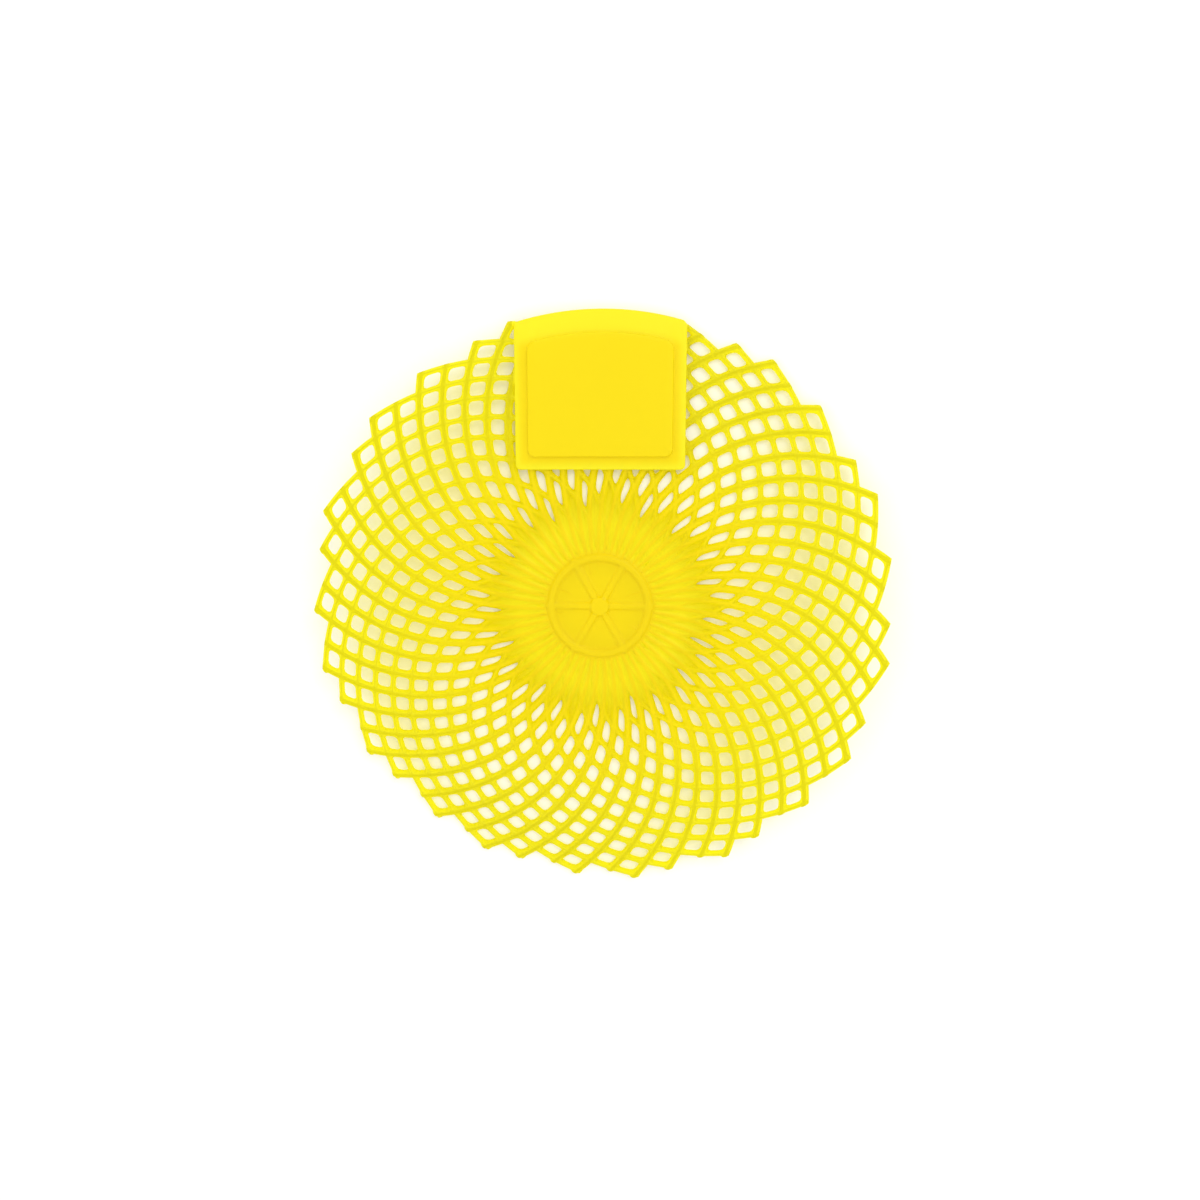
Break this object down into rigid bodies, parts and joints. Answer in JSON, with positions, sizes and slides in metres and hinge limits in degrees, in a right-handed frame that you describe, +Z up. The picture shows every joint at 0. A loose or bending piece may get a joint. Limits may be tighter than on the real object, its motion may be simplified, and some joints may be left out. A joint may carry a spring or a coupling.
{
  "type": "urinal deodorizer screen",
  "caption": "Round flexible urinal screen of crossing spiral ribs, with a solid hub, a saw-toothed rim and a rectangular tab, that scents the bowl and lets liquid through.",
  "frame": {"origin": "middle of the footprint's bounding box, on the plane of the hub's underside", "axes": "+Z up, out of the hub's face; +Y towards the tab"},
  "size_m": [0.1792, 0.1828, 0.0144],
  "materials": {
    "scented_plastic": "soft translucent satin"
  },
  "bodies": {
    "root": {"screen": "scented_plastic"}
  },
  "joints": []
}
